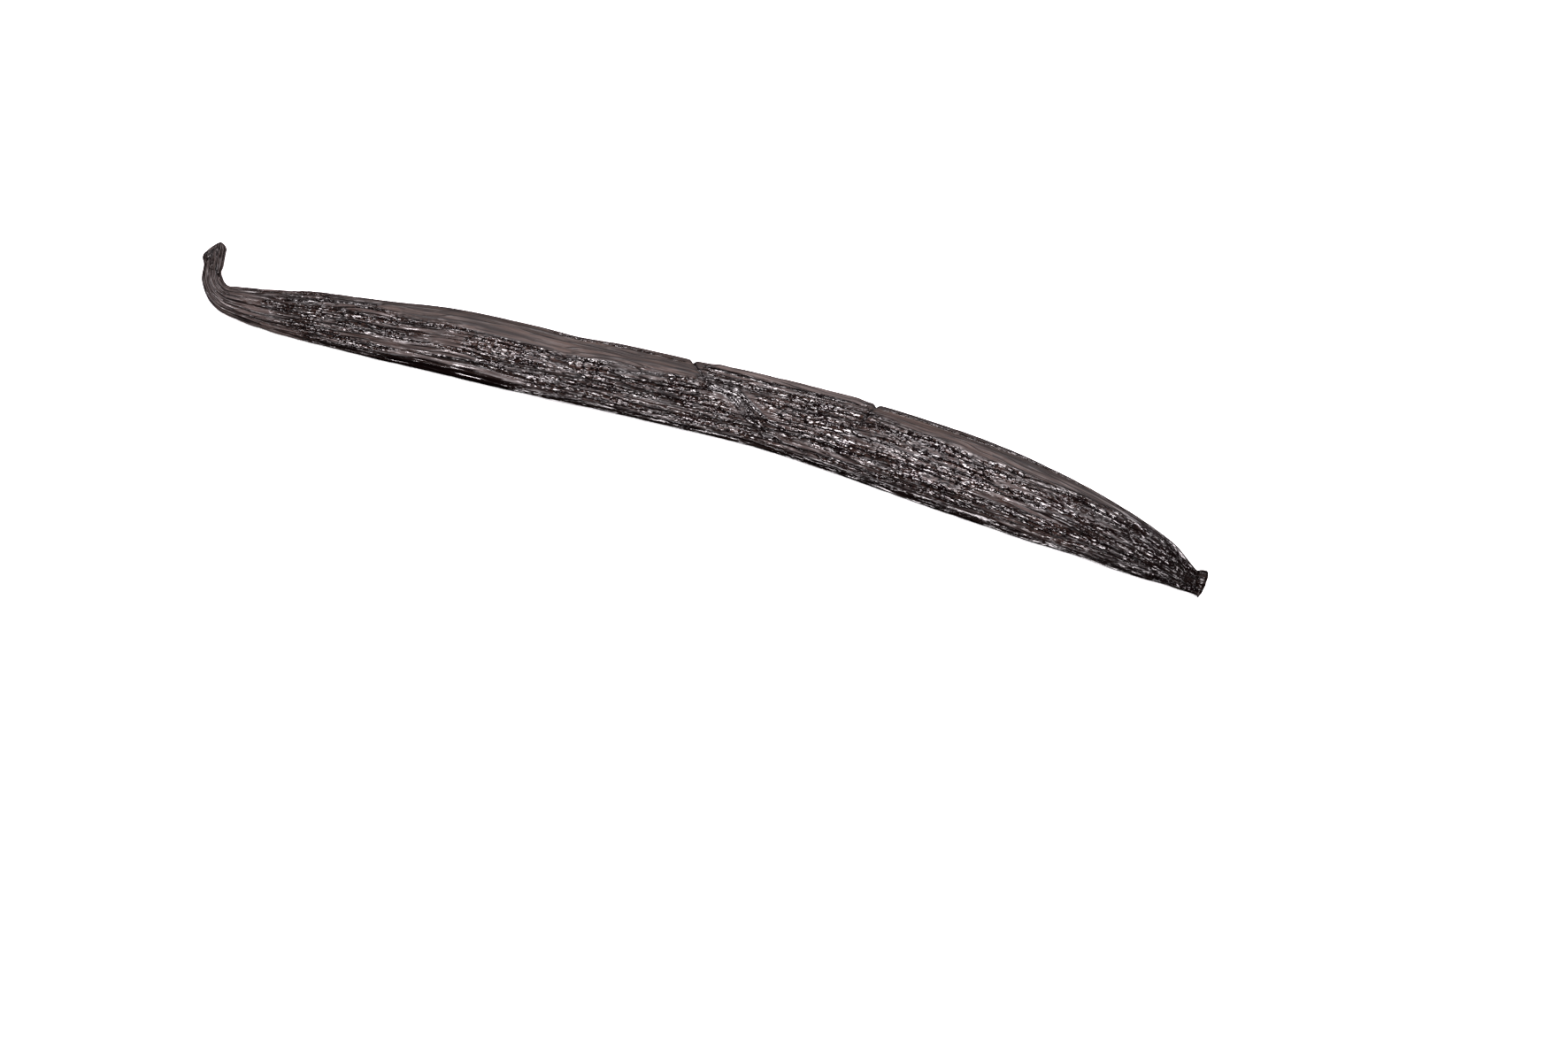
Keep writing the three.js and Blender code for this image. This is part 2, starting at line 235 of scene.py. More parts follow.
class Ring:
    """What is the same all the way round the pod at one distance along it."""

    def __init__(self, along):
        reach = 0.05
        self.along = along
        self.centre = centre_at(along)
        ahead, behind = centre_at(min(POD_LENGTH, along + reach)), centre_at(max(0, along - reach))
        self.forward = (ahead - behind).normalized()
        self.sideways = Vector((0, 0, 1)).cross(self.forward).normalized()
        self.upwards = self.forward.cross(self.sideways)
        self.half_width = value_at(WIDTHS, along) / 2
        self.half_height = value_at(HEIGHTS, along) / 2
        self.girth = math.pi * (self.half_width + self.half_height)
        self.scale = min(1.0, self.girth / (0.75 * math.pi * WIDEST))
        self.on_body = smoothstep(along, CROOK_LENGTH, 3 * CROOK_LENGTH)
        self.dome = self.rounded(along, 1.0) * self.rounded(POD_LENGTH - along, 0.5)
        self.taut_inner = value_on(TAUT_INNER, along)
        self.lip = plateau(along, LIP_FROM, LIP_FROM + LIP_EASE, LIP_TO - LIP_EASE, LIP_TO)
        self.furrows = [self.furrow(i) for i in range(FURROWS)]
        self.folds = self.near(FOLDS)
        self.creases = self.near(CREASES)

        self.squeezed = along - TAIL_SQUEEZE * max(0.0, along - (POD_LENGTH - TAIL_LENGTH))
        self.unrolled_radius = UNROLLED_RADIUS * self.scale**0.7
        self.coverage = value_on(CRINKLE_COVERAGE, along)
        self.crinkle_rows = self.near(CRINKLE_ROWS)
        self.crinkles_begun = smoothstep(along, *CRINKLES_BEGIN)
        self.scar_rim = plateau(along, *SCAR_RIM)
        self.on_stalk = 1 - smoothstep(along, *STALK_FADES)
        self.on_stalk_end = 1 - smoothstep(along, *STALK_END_FADES)
        self.outer_stalk = 1 - smoothstep(along, *OUTER_STALK_FADES)
        self.beyond_crook = smoothstep(along, *FLANK_BEGINS)
        self.oily = plateau(along, *OILY_FLANK)
        self.on_tail = smoothstep(along, *TAIL_BEGINS)
        self.tail_darkened = smoothstep(along, *TAIL_DARKENS)
        self.before_end = 1 - smoothstep(along, *TAUT_FADES)
        self.rim_crumpled = smoothstep(along, *RIM_CRUMPLES)
        self.blossom_rim = smoothstep(along, *BLOSSOM_RIM_BEGINS)

    @staticmethod
    def rounded(gap, length):
        return math.sqrt(1 - (1 - min(1.0, gap / length)) ** 2)

    def furrow(self, i):
        """Where one long furrow runs here, as a turn, and how deep it is as a share of the deepest."""
        even = (i + 0.5 * (chance(i, 1) - 0.5)) / FURROWS
        place = even + 0.013 * wander(i, self.along, 2, 45, 30) + 0.004 * wander(i, self.along, 4, 14, 8)
        return place, 0.6 + 0.4 * wander(i, self.along, 6, 34, 30)

    def near(self, folds):
        """Those of the folds that come close to this ring, with their lines laid out in millimetres."""
        found = []
        for fold in folds:
            places = [along for along, turn in fold.line]
            if min(places) - 2 * fold.reach < self.along < max(places) + 2 * fold.reach:
                line = [Vector((along, turn * self.girth)) for along, turn in fold.line]
                found.append(Fold(fold.depth, fold.reach, line))
        return found


def tautness(ring, turn, stray):
    """1 inside the taut band, easing to 0 just outside it and in the crook. Its edges stray by a share."""
    side = turn_between(turn, 0) + TAUT_STRAY * stray
    past_outer = smoothstep(side, TAUT_OUTER - TAUT_EASE, TAUT_OUTER)
    past_inner = smoothstep(side, ring.taut_inner, ring.taut_inner + TAUT_EASE)
    return past_outer * (1 - past_inner) * ring.on_body


def furrow_depth(ring, turn, taut):
    """How deep the long furrows are here: evenly spread but wandering, they fade in and out along the pod."""
    reach = FURROW_REACH * ring.scale
    deepest = 0.0
    for place, strength in ring.furrows:
        distance = abs(turn_between(turn, place)) * ring.girth
        if distance < reach:
            deepest = max(deepest, strength * groove(distance, reach))
    return FURROW_DEPTH * ring.scale * lerp(1, TAUT_FURROW_SHARE, taut) * deepest


def beside_line(place, line):
    """How far a place on the unrolled skin is from a line of points, and less than 0 on its other side."""
    found = []
    for a, b in zip(line, line[1:]):
        step = b - a
        share = min(1.0, max(0.0, (place - a).dot(step) / step.length_squared))
        gap = place - a - step * share
        found.append(math.copysign(gap.length, step.x * gap.y - step.y * gap.x))
    return min(found, key=abs)


def lip_height(ring, turn):
    share = min(1.0, abs(turn_between(turn, LIP_TURN)) / LIP_REACH)
    return LIP_HEIGHT * (1 - share**2) * ring.lip


def ends_relief(ring, turn):
    """The scar is cleft into lobes, and the blossom end's rim is beaded."""
    on_scar = 1 - smoothstep(ring.along, 2.6, 4.2)
    clefts = max(
        groove(turn_between(turn, 0.14), 0.07),
        0.6 * groove(turn_between(turn, 0.27), 0.06),
        groove(turn_between(turn, 0.64), 0.07),
        0.7 * groove(turn_between(turn, 0.88), 0.07),
    )
    on_rim = smoothstep(ring.along, POD_LENGTH - 1.4, POD_LENGTH - 0.7)
    beads = math.cos(2 * math.pi * (7 * turn + 0.2))
    return 0.12 * on_rim * beads - 0.55 * on_scar * clefts


def end_slant(ring, across):
    """The faces at both ends are cut aslant: how far a point slides along the pod."""
    side = across / ring.half_width
    at_scar = 1 - smoothstep(ring.along, 0, SCAR_LENGTH)
    at_blossom = smoothstep(ring.along, POD_LENGTH - 2, POD_LENGTH)
    return -1.45 * at_scar * min(side, 0.35) - 0.2 * at_blossom * side


def unevenness(ring, turn):
    """A broad swelling and hollowing of the section that changes slowly along the pod."""
    three = math.cos(2 * math.pi * (3 * turn - ring.along / 170 - 0.1))
    five = math.cos(2 * math.pi * (5 * turn + ring.along / 90))
    return ring.on_body * (0.14 * three + 0.1 * five)


# ---------------------------------------------------------------- the wrinkles that only show close up

SIDES = 160  # facets round the pod
RINGS = 624  # rows of facets from end to end
CROWDING = 0.06  # of a turn, by which vertices are drawn from the underside to the top

# The skin is laid out on a plainer tube, so that wrinkles fan out where the pod widens. The tube's tail is squeezed
# by a share of its length, so that wrinkles are 1.4 times as long there.
UNROLLED_RADIUS = 4.4
TAIL_LENGTH, TAIL_SQUEEZE = 30, 0.3

# Depths, in the skin where the pod is thick.
LONG_WRINKLE = 0.26
SHORT_WRINKLE = 0.1
STALK_WRINKLE = 0.2
TAIL_WRINKLE = 0.3
CRINKLE = 0.08

TAUT_STRAY = 0.045  # of a turn, by which the taut band's edges stray
CREASE_STRAY = 0.3  # how far a crease strays from its line, where the pod is thick

# Noises that lay out the skin: how long their waves are along the pod, how wide round it, and a seed.
Waves = namedtuple("Waves", "length width seed")
SWAYING = Waves(12, 4, 0)
LONG_WRINKLES = Waves(16, 0.8, 1)
SHORT_WRINKLES = Waves(5.5, 0.6, 2)
CRINKLE_CLUSTERS = Waves(24, 4.5, 3)
CRINKLES = Waves(0.85, 0.42, 4)
FADING = Waves(20, 2.5, 5)
FINE_STRAYING = Waves(0.9, 0.9, 6)
BROAD_STRAYING = Waves(2.6, 2.6, 7)
BREAKING = Waves(1.3, 1.3, 8)
JUMBLING = Waves(1.4, 0.9, 9)
SCATTERED_ROWS = Waves(14, 0.75, 12)
TAUT_EDGES = Waves(8, 1.3, 13)
STALK_WRINKLES = Waves(9, 0.95, 21)
TAIL_WRINKLES = Waves(15, 1.3, 31)
noise.seed_set(1)  # noise_vector follows this seed, and without one it differs from run to run

# Where parts of the skin are, in millimetres along the pod: where each begins and is full, where it fades and
# ends, or all four.
SCAR_RIM = (0.25, 0.5, 0.6, 0.9)
STALK_END_FADES = (6, 16)
OUTER_STALK_FADES = (10, 24)
STALK_FADES = (12, 30)
CRINKLES_BEGIN = (12, 22)
FLANK_BEGINS = (12, 32)
OILY_FLANK = (28, 36, 50, 58)
TAIL_BEGINS = (POD_LENGTH - 34, POD_LENGTH - 14)
TAIL_DARKENS = (POD_LENGTH - 28, POD_LENGTH - 6)
TAUT_FADES = (POD_LENGTH - 4, POD_LENGTH - 2)
RIM_CRUMPLES = (POD_LENGTH - 1.6, POD_LENGTH - 1.2)
BLOSSOM_RIM_BEGINS = (POD_LENGTH - 1.0, POD_LENGTH - 0.7)

# The flank on the -Y side, painted black as shade, in turns round the pod.
# It reaches a little higher where it is oily.
FLANK_TOP, FLANK_EASE, OILY_RISE = 0.39, 0.05, 0.025
FLANK_FADES = (0.85, 0.97)

# Narrow creases.
CREASES = [
    # They fan out from the cross folds.
    Fold(0.35, 0.5, [(66.5, 0.235), (70.5, 0.225), (74.5, 0.195)]),
    Fold(0.4, 0.55, [(80.6, 0.2), (84.0, 0.22), (88.6, 0.315), (91.0, 0.345)]),
    Fold(0.35, 0.5, [(83.0, 0.17), (86.0, 0.2), (91.0, 0.29), (95.4, 0.33)]),
    Fold(0.5, 0.8, [(90.2, 0.372), (93.2, 0.378)]),
    Fold(0.3, 0.5, [(102.7, 0.2), (103.7, 0.23), (107.0, 0.26)]),
    Fold(0.3, 0.5, [(81.0, 0.085), (92.0, 0.09), (103.6, 0.08)]),
    Fold(0.3, 0.5, [(105.0, 0.1), (106.1, 0.125), (108.0, 0.13)]),
    # The scar has a groove behind its face, a deep cleft beside the +Y lobe, and pits where its ridges meet.
    Fold(0.3, 0.35, [(1.0, 0.46), (1.0, 0.3), (0.95, 0.19)]),
    Fold(0.5, 0.4, [(1.2, 0.15), (2.4, 0.17), (3.8, 0.14), (5.2, 0.06)]),
    Fold(0.65, 0.8, [(2.0, 0.165), (2.8, 0.15)]),
    Fold(0.4, 0.5, [(2.4, 0.25), (3.1, 0.26)]),
    Fold(0.35, 0.45, [(3.8, 0.26), (4.1, 0.26)]),
    Fold(0.3, 0.4, [(2.3, 0.36), (1.6, 0.28), (1.2, 0.2)]),
    # The slit near the crook is cut deeper.
    Fold(0.4, 0.6, [(18.0, 0.168), (24.0, 0.137), (31.5, 0.108)]),
]

# How much of the skin is crinkled, from stalk to blossom end.
CRINKLE_COVERAGE = [
    (10, 0.35), (18, 0.85), (36, 0.85), (44, 0.55), (52, 0.6),
    (60, 1), (95, 1), (112, 0.95), (126, 0.7), (160, 1),
]

# Rows of crinkles, four of them along the taut band's edges and the others where the skin is most gathered.
CRINKLE_ROWS = [
    Fold(1, 0.6, [(34, 0.19), (60, 0.215), (79, 0.195)]),
    Fold(1, 0.4, [(57, 0.08), (77, 0.085)]),
    Fold(1, 0.5, [(107, 0.055), (122, 0.06), (145, 0.055)]),
    Fold(1, 0.7, [(20, 0.2), (27, 0.19), (35, 0.215)]),
    Fold(1, 0.8, [(15, 0.215), (20, 0.225)]),
    Fold(1, 0.6, [(22.3, 0.33), (26.5, 0.345)]),
    Fold(1, 0.5, [(21.5, 0.385), (25, 0.39)]),
    Fold(1, 1.5, [(46, 0.255), (57, 0.25), (73, 0.24), (79, 0.25)]),
    Fold(1, 1.0, [(48, 0.335), (60, 0.35), (72, 0.383)]),
]

# What the material reads: shares from 0 to 1, of which some mark painted shade and painted rim light,
# and how far to the side the nearest crack is.
SkinValues = namedtuple("SkinValues", "taut crinkled hollow dark dried cracked beside_crack")

# How near a place is to the floor of each kind of wrinkle, from 0 to 1.
Wrinkles = namedtuple("Wrinkles", "long short stalk tail crinkles")


def laid_out(waves, place):
    """A place on the unrolled skin, scaled to these waves."""
    x = place.x / waves.length + 17.3 * waves.seed
    return Vector((x, place.y / waves.width, place.z / waves.width))


def waving(waves, place):
    """A noise with these waves on the unrolled skin, from -1 to 1."""
    return noise.noise(laid_out(waves, place))


def valley(wave, reach, sharpness):
    """1 along the thin line where a wave crosses 0, falling to 0 a reach away from it."""
    return (1 - min(1.0, abs(wave) / reach)) ** sharpness


def straying(waves, unrolled):
    """A push in the plane of the unrolled skin."""
    place = laid_out(waves, unrolled)
    return Vector((noise.noise(place), noise.noise(place + Vector((0, 0, 9)))))


def fold_relief(ring, turn, unrolled):
    """How deep the folds and creases are here: each is a shallow dip with a thin, straying crack in its floor.
    Also how far to the side the nearest crack's middle is, and how open that crack is, from 0 to 1."""
    nearby = ring.folds + ring.creases
    if not nearby:
        return 0.0, 0.0, 1.0, 0.0
    wrapped = turn - 1 if turn > 0.75 else turn
    astray = straying(BROAD_STRAYING, unrolled) + 0.5 * straying(FINE_STRAYING, unrolled)
    place = Vector((ring.along, wrapped * ring.girth)) + CREASE_STRAY * ring.scale * astray
    broken = lerp(0.4, 1, smoothstep(waving(BREAKING, unrolled), -0.5, -0.1))
    dip = crack = 0.0
    for fold in ring.folds:
        distance = beside_line(place, fold.line)
        dip = max(dip, 0.45 * fold.depth * groove(distance, fold.reach))
        crack = max(crack, 0.55 * fold.depth * broken * groove(distance, 0.65 * fold.reach))
    for crease in ring.creases:
        distance = beside_line(place, crease.line)
        crack = max(crack, crease.depth * broken * groove(distance, crease.reach))
    nearest = min(nearby, key=lambda fold: abs(beside_line(place, fold.line)))
    beside = beside_line(place, nearest.line)
    from_end = min((place - nearest.line[0]).length, (place - nearest.line[-1]).length)
    opened = broken * smoothstep(from_end, 0.1, 0.8) * (1 - smoothstep(abs(beside), 0.5, 1.0))
    return dip, crack, beside, opened


def flank_shade_share(ring, turn):
    """1 on the flank that is painted black as shade, and a little less where it isn't oily."""
    top = FLANK_TOP - OILY_RISE * ring.oily
    return plateau(turn, top, top + FLANK_EASE, *FLANK_FADES) * ring.beyond_crook * lerp(0.88, 1, ring.oily)


def crinkled_share(ring, turn, unrolled, taut, flank_shade):
    """1 where the skin is crinkled: in scattered rows that gather in clusters, and in rows that are listed."""
    level = 0.5 * waving(CRINKLE_CLUSTERS, unrolled) + 0.8 * waving(SCATTERED_ROWS, unrolled)
    threshold = 0.3 - 0.62 * ring.coverage
    share = smoothstep(level, threshold - 0.08, threshold + 0.08) * (1 - taut) * ring.crinkles_begun
    place = Vector((ring.along, turn * ring.girth))
    for row in ring.crinkle_rows:
        share = max(share, 1 - smoothstep(abs(beside_line(place, row.line)), 0.5 * row.reach, row.reach))
    return share * lerp(1, lerp(0.4, 0.1, ring.oily), flank_shade)


def wrinkles_at(ring, unrolled, flank_shade):
    """The fine wrinkles, which sway together. Long ones fade in and out, and crinkles are jumbled."""
    sway = waving(SWAYING, unrolled)
    swayed = unrolled + Vector((0, 0.8 * sway, -0.8 * sway))
    fade = lerp(0.3, 1, smoothstep(waving(FADING, unrolled), -0.45, 0.15))
    jumbled = swayed + 0.45 * noise.noise_vector(laid_out(JUMBLING, unrolled))
    return Wrinkles(
        long=valley(waving(LONG_WRINKLES, swayed), 0.4, 2.2) * fade * lerp(1, 0.25, flank_shade),
        short=valley(waving(SHORT_WRINKLES, swayed), 0.4, 2) * lerp(1, 0.6, flank_shade),
        stalk=ring.on_stalk * valley(waving(STALK_WRINKLES, swayed), 0.4, 1.6),
        tail=ring.on_tail * valley(waving(TAIL_WRINKLES, swayed), 0.3, 1.2),
        crinkles=valley(waving(CRINKLES, jumbled), 0.5, 1.3),
    )


def wrinkle_depth(ring, wrinkles, taut, crinkled):
    """How deep the fine wrinkles are here. They are faint in the taut band."""
    depth = LONG_WRINKLE * wrinkles.long * lerp(1, 0.2, taut) + SHORT_WRINKLE * wrinkles.short * lerp(1, 0.45, taut)
    depth += STALK_WRINKLE * wrinkles.stalk + TAIL_WRINKLE * wrinkles.tail
    return max(0.5, ring.scale) * (depth + CRINKLE * crinkled * wrinkles.crinkles)


def hollow_shade_share(ring, wrinkles, taut, crinkled, furrow, crack):
    """1 on the floors of furrows, wrinkles and cracks, which are painted black as shade. A power narrows
    each floor.
    """
    furrowed = smoothstep(furrow / (FURROW_DEPTH * ring.scale), 0.6, 0.97)
    hollow = max(
        furrowed * lerp(1, 0.3, taut),
        wrinkles.long**3.5 * lerp(1, 0.3, taut),
        0.6 * wrinkles.short**3 * lerp(1, 0.4, taut),
        0.9 * wrinkles.stalk**2,
        wrinkles.tail**2,
        0.4 * crinkled * wrinkles.crinkles**2,
        2 * crack,
    )
    return min(1.0, hollow)


def flank_shade_and_blackness(ring, flank_shade):
    """Painted shade that blackens the flank, and how black the skin is at the stalk's end and in the tail."""
    return max(flank_shade, 0.25 * ring.on_stalk_end, 0.85 * ring.tail_darkened) * (1 - 0.4 * ring.blossom_rim)


def dryness_and_rim_light(ring, turn, on_lip):
    """How pale the skin is: dried on the scar's rim, the stalk and the blossom end's rim, and paler as painted
    rim light on the stalk's outer side and the lip.
    """
    outer_side = valley(turn_between(turn, 0.48), 0.1, 1) * ring.outer_stalk
    rims = max(0.8 * ring.scar_rim, 0.1 * ring.blossom_rim)
    return max(rims, 0.15 * ring.on_stalk_end, 0.6 * outer_side, 0.45 * on_lip)


def skin_point(ring, turn):
    """A point of the skin, its place on the unrolled skin, and what the material reads there."""
    angle = 2 * math.pi * turn
    across, up = ring.unrolled_radius * math.cos(angle), ring.unrolled_radius * math.sin(angle)
    unrolled = Vector((ring.squeezed, across, up))
    on_lip = ring.lip * smoothstep(valley(turn_between(turn, 0), LIP_REACH, 1), 0, 0.25)
    taut = max(on_lip, tautness(ring, turn, waving(TAUT_EDGES, unrolled))) * ring.before_end
    flank_shade = flank_shade_share(ring, turn)
    crinkled = crinkled_share(ring, turn, unrolled, taut, flank_shade)
    wrinkles = wrinkles_at(ring, unrolled, flank_shade)
    dip, crack, beside_crack, cracked = fold_relief(ring, turn, unrolled)
    furrow = furrow_depth(ring, turn, taut)

    raised = unevenness(ring, turn) + lip_height(ring, turn) + ends_relief(ring, turn)
    relief = raised - max(furrow, dip + crack) - wrinkle_depth(ring, wrinkles, taut, crinkled)
    outwards = Vector((math.cos(angle) / ring.half_width, math.sin(angle) / ring.half_height)).normalized()
    across = ring.dome * (ring.half_width * math.cos(angle) + outwards.x * relief)
    up = ring.dome * (ring.half_height * math.sin(angle) + outwards.y * relief)
    point = ring.centre + ring.sideways * across + ring.upwards * up + ring.forward * end_slant(ring, across)
    point.z = max(0.0, point.z)

    crinkled *= 1 - 0.8 * cracked
    return point, unrolled, SkinValues(
        taut=taut,
        crinkled=max(crinkled, 0.8 * ring.rim_crumpled),
        hollow=hollow_shade_share(ring, wrinkles, taut, crinkled, furrow, crack),
        dark=flank_shade_and_blackness(ring, flank_shade),
        dried=dryness_and_rim_light(ring, turn, on_lip),
        cracked=cracked,
        beside_crack=beside_crack,
    )


def ring_places(count):
    """Distances along the pod of rings of vertices, close together at both ends and in the crook."""

    def density(along):
        from_end = min(along, POD_LENGTH - along)
        in_crook = 1 - smoothstep(along, CROOK_LENGTH, 2 * CROOK_LENGTH)
        return 1 + 1.2 * in_crook + 5 * math.exp(-from_end / 0.7)

    steps = 4000
    samples = [POD_LENGTH * k / steps for k in range(steps + 1)]
    total = [0.0]
    for a, b in zip(samples, samples[1:]):
        total.append(total[-1] + density((a + b) / 2) * (b - a))
    places, k = [], 0
    for i in range(count + 1):
        wanted = total[-1] * i / count
        while k < steps and total[k + 1] < wanted:
            k += 1
        k = min(k, steps - 1)
        share = (wanted - total[k]) / (total[k + 1] - total[k])
        places.append(lerp(samples[k], samples[k + 1], share))
    return places


def make_pod():
    """The skin is a sphere's grid of vertices, whose poles become the pod's two ends."""
    rings = [Ring(along) for along in ring_places(RINGS)]
    shape = bmesh.new()
    bmesh.ops.create_uvsphere(shape, u_segments=SIDES, v_segments=RINGS, radius=1)
    unrolled_layer = shape.verts.layers.float_vector.new("unrolled")
    layers = [shape.verts.layers.float.new(name) for name in SkinValues._fields]
    for vertex in shape.verts:
        ring = rings[round(math.acos(max(-1.0, min(1.0, vertex.co.z))) / math.pi * RINGS)]
        even = -math.atan2(vertex.co.y, vertex.co.x) / (2 * math.pi)
        turn = (even - CROWDING * math.sin(2 * math.pi * (even - 0.25))) % 1.0
        vertex.co, vertex[unrolled_layer], values = skin_point(ring, turn)
        for layer, value in zip(layers, values):
            vertex[layer] = value
    bmesh.ops.recalc_face_normals(shape, faces=shape.faces)
    for face in shape.faces:
        face.smooth = True
    mesh = bpy.data.meshes.new("pod_skin")
    shape.to_mesh(mesh)
    shape.free()
    return place_in_box(mesh, *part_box("vanilla_pod"))


def place_in_box(mesh, low, high):
    """Millimetres to metres, with the skin's middle on the solid's middle and nothing past the solid's box."""
    points = [vertex.co for vertex in mesh.vertices]
    least = Vector([min(point[axis] for point in points) for axis in range(3)])
    most = Vector([max(point[axis] for point in points) for axis in range(3)])
    shift = (low + high) / 2 / MM - (least + most) / 2
    shift.z = low.z / MM - least.z
    for vertex in mesh.vertices:
        vertex.co = [
            min(high[axis], max(low[axis], (vertex.co[axis] + shift[axis]) * MM)) for axis in range(3)
        ]
    pod = bpy.data.objects.new("pod_skin", mesh)
    bpy.context.scene.collection.objects.link(pod)
    return pod


# ---------------------------------------------------------------- materials

# Kinds of node, and their settings.
MATHS, VECTOR_MATHS = "ShaderNodeMath", "ShaderNodeVectorMath"
SPREAD, MIX = "ShaderNodeMapRange", "ShaderNodeMix"
PRODUCT, DIFFERENCE = {"operation": "MULTIPLY"}, {"operation": "SUBTRACT"}
GREATER, TIMES_PLUS = {"operation": "MAXIMUM"}, {"operation": "MULTIPLY_ADD"}
COLOURS = {"data_type": "RGBA"}
SMOOTH = {"interpolation_type": "SMOOTHSTEP"}


def srgb(code):
    """A colour written as sRGB hex, as linear light."""
    parts = [int(code[i : i + 2], 16) / 255 for i in (1, 3, 5)]
    return [c / 12.92 if c <= 0.04045 else ((c + 0.055) / 1.055) ** 2.4 for c in parts] + [1.0]


def add_node(material, kind, settings, *values, **named):
    """Adds a node with its settings. Values go to its inputs in order, or by name with _ for a space, and each is
    a number, a colour, an output socket, or a node, which stands for its first output."""
    node = material.node_tree.nodes.new(kind)
    for name, value in settings.items():
        setattr(node, name, value)
    inputs = [socket for socket in node.inputs if socket.enabled]
    by_name = {socket.name.replace(" ", "_"): socket for socket in reversed(inputs)}
    for socket, value in [*zip(inputs, values), *((by_name[name], value) for name, value in named.items())]:
        if isinstance(value, bpy.types.Node):
            value = next(output for output in value.outputs if output.enabled)
        if isinstance(value, bpy.types.NodeSocket):
            material.node_tree.links.new(value, socket)
        else:
            socket.default_value = value
    return node


def new_material(name):
    material = bpy.data.materials.new(name)
    material.use_nodes = True
    material.node_tree.nodes.clear()
    return material


def drawn_out_noise(material, unrolled, length, width, **settings):
    """Noise laid along the pod, whose waves have this length along it and this width round it, in millimetres."""
    scale = (1 / length, 1 / width, 1 / width)
    place = add_node(material, "ShaderNodeMapping", {}, Vector=unrolled, Scale=scale)
    return add_node(material, "ShaderNodeTexNoise", {}, Vector=place, Scale=1.0, **settings)


def wandering_lines(material, unrolled, count, length, half_width):
    """Lines that run along the pod, so many round it, as 0 at their edges and 1 in their middles. Each wanders, comes
    and goes over about this length, and is at most twice this half width wide, in millimetres."""
    add = partial(add_node, material)
    axes = add("ShaderNodeSeparateXYZ", {}, unrolled)
    angle = add(MATHS, {"operation": "ARCTAN2"}, axes.outputs["Y"], axes.outputs["Z"])
    turned = add(MATHS, PRODUCT, angle, count / (2 * math.pi))
    sway = drawn_out_noise(material, unrolled, 1.4 * length, 3.0, Detail=1.0)
    swayed = add(MATHS, TIMES_PLUS, sway, 0.09 * count, turned)
    away = add(MATHS, {"operation": "PINGPONG"}, swayed, 0.5)
    away_mm = add(MATHS, PRODUCT, away, 2 * math.pi * UNROLLED_RADIUS / count)
    comes = drawn_out_noise(material, unrolled, length, 0.9, Detail=1.0)
    reach = add(SPREAD, {}, comes, 0.36, 0.52, 0, half_width)
    inside = add(MATHS, DIFFERENCE, reach, away_mm)
    return add(SPREAD, {}, inside, 0, half_width, 0, 1)


